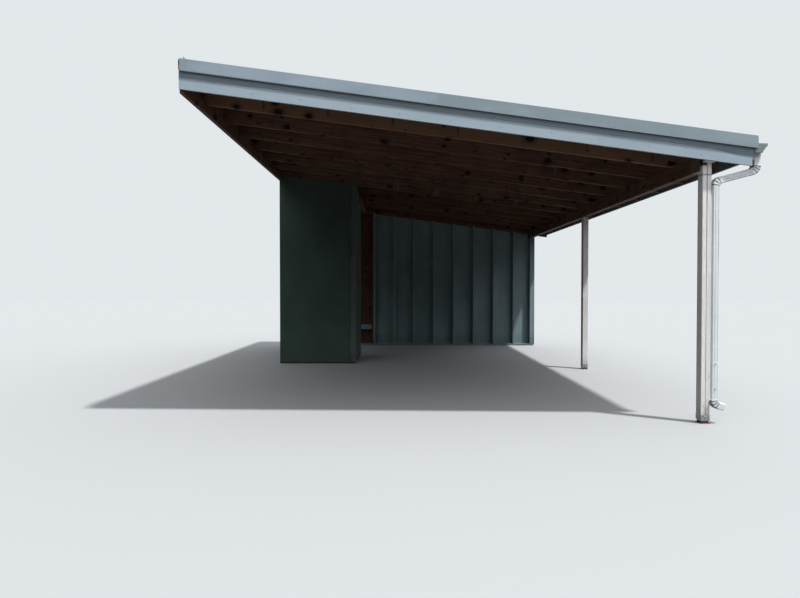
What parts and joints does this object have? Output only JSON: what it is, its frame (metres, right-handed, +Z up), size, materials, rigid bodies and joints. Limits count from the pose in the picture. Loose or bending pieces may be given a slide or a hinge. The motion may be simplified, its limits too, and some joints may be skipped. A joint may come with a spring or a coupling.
{
  "type": "lean-to carport",
  "caption": "Lean-to carport with one roof slope on a wall ledger, a posted eave beam, a boarded rear wall and a half-open corner closet.",
  "frame": {"origin": "on the floor, in the middle of the covered footprint", "axes": "+Y from the open front to the rear wall, +X from the wall ledger to the eave, +Z up"},
  "size_m": [4.9368, 7.438, 3.1426],
  "materials": {
    "stained_lumber": "old brown stain on sawn softwood framing",
    "bare_lumber": "unpainted weathered softwood and board",
    "white_paint": "white exterior paint on softwood, satin",
    "grey_paint": "blue grey exterior paint on softwood and board, satin",
    "rake_metal": "factory painted folded steel, satin",
    "roof_metal": "factory painted ribbed steel sheet, satin",
    "gutter_metal": "painted aluminium gutter, satin",
    "spout_metal": "white painted aluminium downspout, satin",
    "bracket_steel": "galvanised steel, dull, rusting at the foot"
  },
  "bodies": {
    "root": {"beam_hanger": "bracket_steel", "closet_corner_board": "grey_paint", "closet_front_panel": "grey_paint", "closet_front_plate": "bare_lumber", "closet_front_sill": "bare_lumber", "closet_front_studs": "bare_lumber", "closet_rail_high": "bare_lumber", "closet_rail_low": "grey_paint", "closet_rail_middle": "bare_lumber", "closet_side_panel": "grey_paint", "closet_side_plate": "bare_lumber", "closet_side_sill": "bare_lumber", "closet_side_studs": "bare_lumber", "common_rafters": "stained_lumber", "downspout_lower_elbow": "spout_metal", "downspout_offset": "spout_metal", "downspout_pipe": "spout_metal", "downspout_shoe": "spout_metal", "downspout_strap_lower": "spout_metal", "downspout_strap_upper": "spout_metal", "downspout_upper_elbow": "spout_metal", "eave_beam_inner_ply": "stained_lumber", "eave_beam_outer_ply": "stained_lumber", "eave_fascia": "grey_paint", "front_edge_boards": "stained_lumber", "front_fascia_cover": "rake_metal", "front_post_base": "bracket_steel", "front_post_inner_ply": "white_paint", "front_post_outer_ply": "white_paint", "front_rafter": "stained_lumber", "front_rake_trim_lower": "rake_metal", "front_rake_trim_upper": "rake_metal", "gutter": "gutter_metal", "ledger_board": "stained_lumber", "middle_post": "white_paint", "middle_post_base": "bracket_steel", "post_head_block": "white_paint", "purlins": "stained_lumber", "rear_bay_boards": "grey_paint", "rear_bay_studs": "grey_paint", "rear_closet_board": "bare_lumber", "rear_closet_studs": "bare_lumber", "rear_corner_post": "grey_paint", "rear_edge_boards": "stained_lumber", "rear_fascia_cover": "rake_metal", "rear_rafter": "stained_lumber", "rear_rake_trim": "rake_metal", "rear_sill_plate": "grey_paint", "rear_top_plate": "stained_lumber", "roof_sheets": "roof_metal", "wall_band_board": "stained_lumber", "wall_flashing": "roof_metal"}
  },
  "joints": []
}
